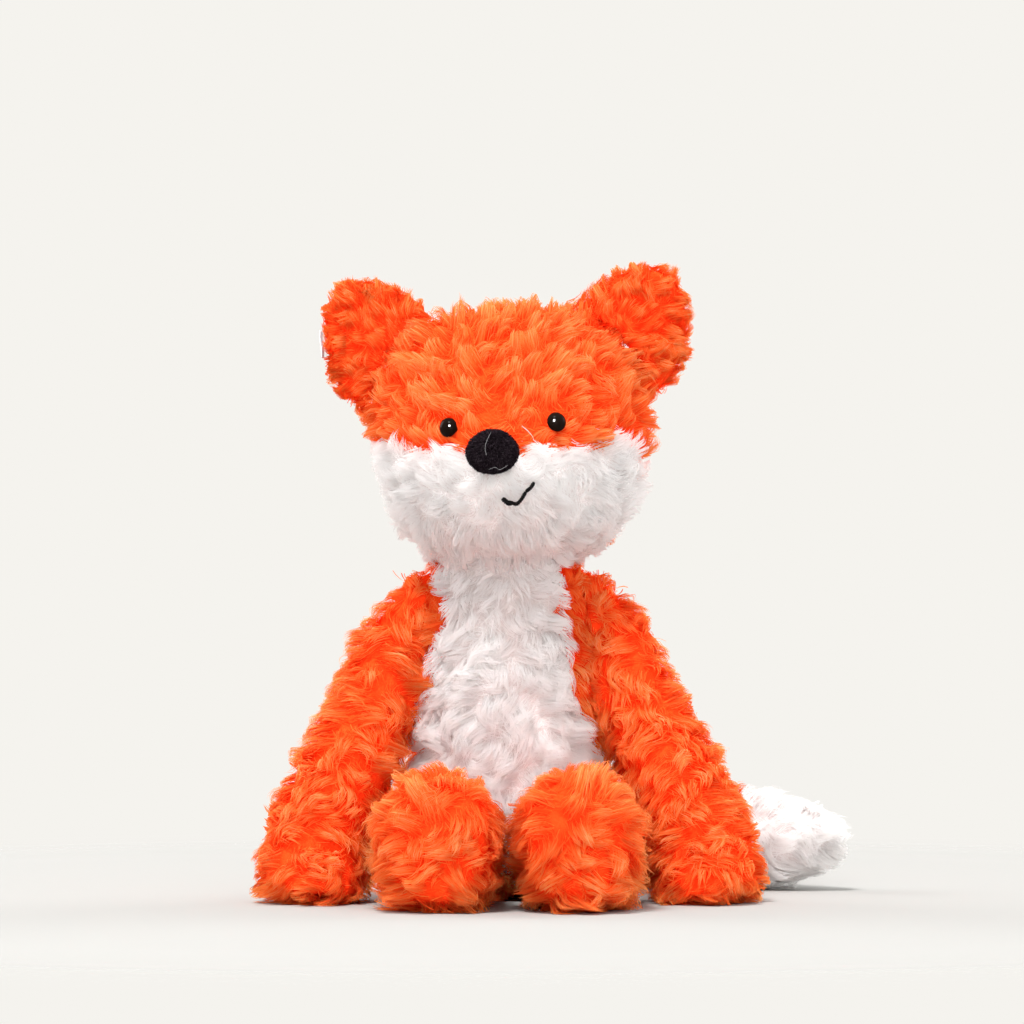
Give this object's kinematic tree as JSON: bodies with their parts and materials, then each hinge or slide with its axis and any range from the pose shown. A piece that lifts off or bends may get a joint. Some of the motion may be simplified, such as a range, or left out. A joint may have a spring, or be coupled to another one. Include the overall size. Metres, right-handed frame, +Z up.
{
  "type": "plush fox",
  "caption": "Sitting stuffed fox of long-pile fur with a round head, wide ears, long arms that prop it up, round feet and a curled bushy tail.",
  "frame": {"origin": "on the flat underside of the seat, in the toy's middle plane", "axes": "+Z up through the head, the face looks along -Y, the toy's own left side is +X"},
  "size_m": [0.285, 0.2502, 0.3027],
  "materials": {
    "orange_fur": "long wavy pile, matt with soft highlights",
    "white_fur": "long wavy pile, matt",
    "black_plastic": "polished",
    "black_velvet": "short napped velvet",
    "grey_plastic": "moulded",
    "grey_cloth": "woven ribbon",
    "fibre": "loose polyester fibre",
    "pellet_cloth": "plain weave"
  },
  "bodies": {
    "torso": {"torso_back": "orange_fur", "belly_panel": "white_fur", "torso_filling": "fibre", "bean_pouch": "pellet_cloth"},
    "head": {"head_crown": "orange_fur", "muzzle_panel": "white_fur", "head_filling": "fibre", "nose": "black_velvet", "eye_left": "black_plastic", "eye_right": "black_plastic", "eye_washer_left": "grey_plastic", "eye_washer_right": "grey_plastic"},
    "ear_left": {"ear_left_front": "orange_fur", "ear_left_back": "orange_fur"},
    "ear_right": {"ear_right_front": "orange_fur", "ear_right_back": "orange_fur", "ear_tag": "grey_cloth"},
    "arm_left": {"arm_left": "orange_fur", "arm_filling_left": "fibre"},
    "arm_right": {"arm_right": "orange_fur", "arm_filling_right": "fibre"},
    "leg_left": {"leg_left": "orange_fur", "leg_filling_left": "fibre"},
    "leg_right": {"leg_right": "orange_fur", "leg_filling_right": "fibre"},
    "tail": {"tail_base": "orange_fur", "tail_tip": "white_fur", "tail_filling": "fibre"}
  },
  "joints": [
    {"name": "head_turn", "type": "hinge", "parent": "torso", "child": "head", "pos_m": [0.001, -0.005, 0.1615], "axis": [0, 0, 1], "range_deg": [-28, 28], "stiffness_Nm_per_rad": 0.05},
    {"name": "ear_left_fold", "type": "hinge", "parent": "head", "child": "ear_left", "pos_m": [0.05531, -0.01071, 0.26373], "axis": [0.6971, -0.0733, -0.7132], "range_deg": [-25, 30], "stiffness_Nm_per_rad": 0.02},
    {"name": "ear_right_fold", "type": "hinge", "parent": "head", "child": "ear_right", "pos_m": [-0.05746, 0.00114, 0.25779], "axis": [0.6191, -0.0651, 0.7826], "range_deg": [-25, 30], "stiffness_Nm_per_rad": 0.02},
    {"name": "arm_left_raise", "type": "hinge", "parent": "torso", "child": "arm_left", "pos_m": [0.03678, 0.004, 0.1582], "axis": [0, -1, 0], "range_deg": [0, 45]},
    {"name": "arm_right_raise", "type": "hinge", "parent": "torso", "child": "arm_right", "pos_m": [-0.03678, 0.004, 0.1582], "axis": [0, 1, 0], "range_deg": [0, 45]},
    {"name": "leg_left_lift", "type": "hinge", "parent": "torso", "child": "leg_left", "pos_m": [0, -0.04206, 0.05848], "axis": [-1, 0, 0], "range_deg": [0, 50]},
    {"name": "leg_right_lift", "type": "hinge", "parent": "torso", "child": "leg_right", "pos_m": [0, -0.04206, 0.05848], "axis": [-1, 0, 0], "range_deg": [0, 50]},
    {"name": "tail_sweep", "type": "hinge", "parent": "torso", "child": "tail", "pos_m": [-0.007, 0.053, 0.03], "axis": [0, 0, 1], "range_deg": [-4, 60], "stiffness_Nm_per_rad": 0.02}
  ]
}
